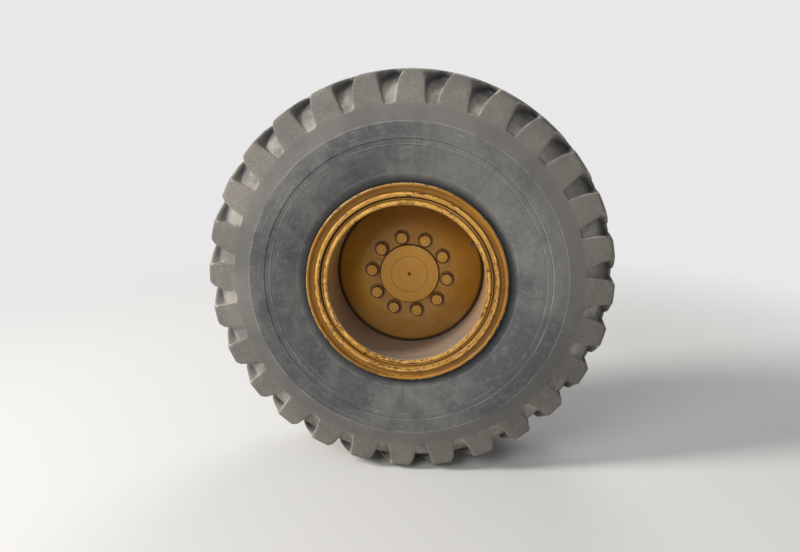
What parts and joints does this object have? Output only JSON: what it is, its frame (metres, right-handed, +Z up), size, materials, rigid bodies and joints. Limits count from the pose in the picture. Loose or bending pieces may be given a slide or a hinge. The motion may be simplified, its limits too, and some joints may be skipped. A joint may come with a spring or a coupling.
{
  "type": "motor grader tandem wheel on its spindle housing",
  "caption": "Large wheel of a motor grader's tandem: lugged tyre on a split-ring rim, dished disc bolted to a shaft that turns in a flanged spindle housing.",
  "frame": {"origin": "centre of the spindle housing's bolt circle, on the flange face that bolts to the tandem case", "axes": "+Y along the axle and inwards, out of the mounting face towards the machine, so the outside of the wheel faces -Y; +Z up; +X towards the rear of the machine"},
  "size_m": [1.4938, 0.643, 1.4938],
  "materials": {
    "tyre": "dusty worn rubber",
    "rim_paint": "satin ochre paint, chipped at the edges",
    "ring_paint": "satin ochre paint, chipped along the ridges",
    "disc_paint": "satin ochre paint, dusty",
    "nut_paint": "ochre paint with grime round the collars",
    "cast_paint": "ochre paint on rough casting",
    "machined_steel": "machined, lightly oiled",
    "hub_paint": "ochre paint over turned steel",
    "bolt_steel": "zinc plated, dull",
    "valve_brass": "dull brass",
    "valve_cap_metal": "bright metal cap"
  },
  "bodies": {
    "spindle": {"spindle_housing": "cast_paint", "outer_bearing": "machined_steel", "inner_bearing": "machined_steel", "seal_retainer": "cast_paint", "retainer_bolts": "bolt_steel", "brake_port": "bolt_steel", "bleed_screw": "bolt_steel", "drain_plug": "bolt_steel"},
    "wheel": {"tyre": "tyre", "rim_base": "rim_paint", "inner_flange": "rim_paint", "outer_flange": "rim_paint", "bead_seat_band": "ring_paint", "lock_ring": "ring_paint", "wheel_disc": "disc_paint", "wheel_shaft": "hub_paint", "bearing_nut": "machined_steel", "wheel_studs": "bolt_steel", "wheel_nuts": "nut_paint", "valve_stem": "valve_brass", "valve_cap": "valve_cap_metal"}
  },
  "joints": [
    {"name": "wheel_spin", "type": "hinge", "parent": "spindle", "child": "wheel", "pos_m": [0, 0, 0], "axis": [0, 1, 0], "continuous": true}
  ]
}
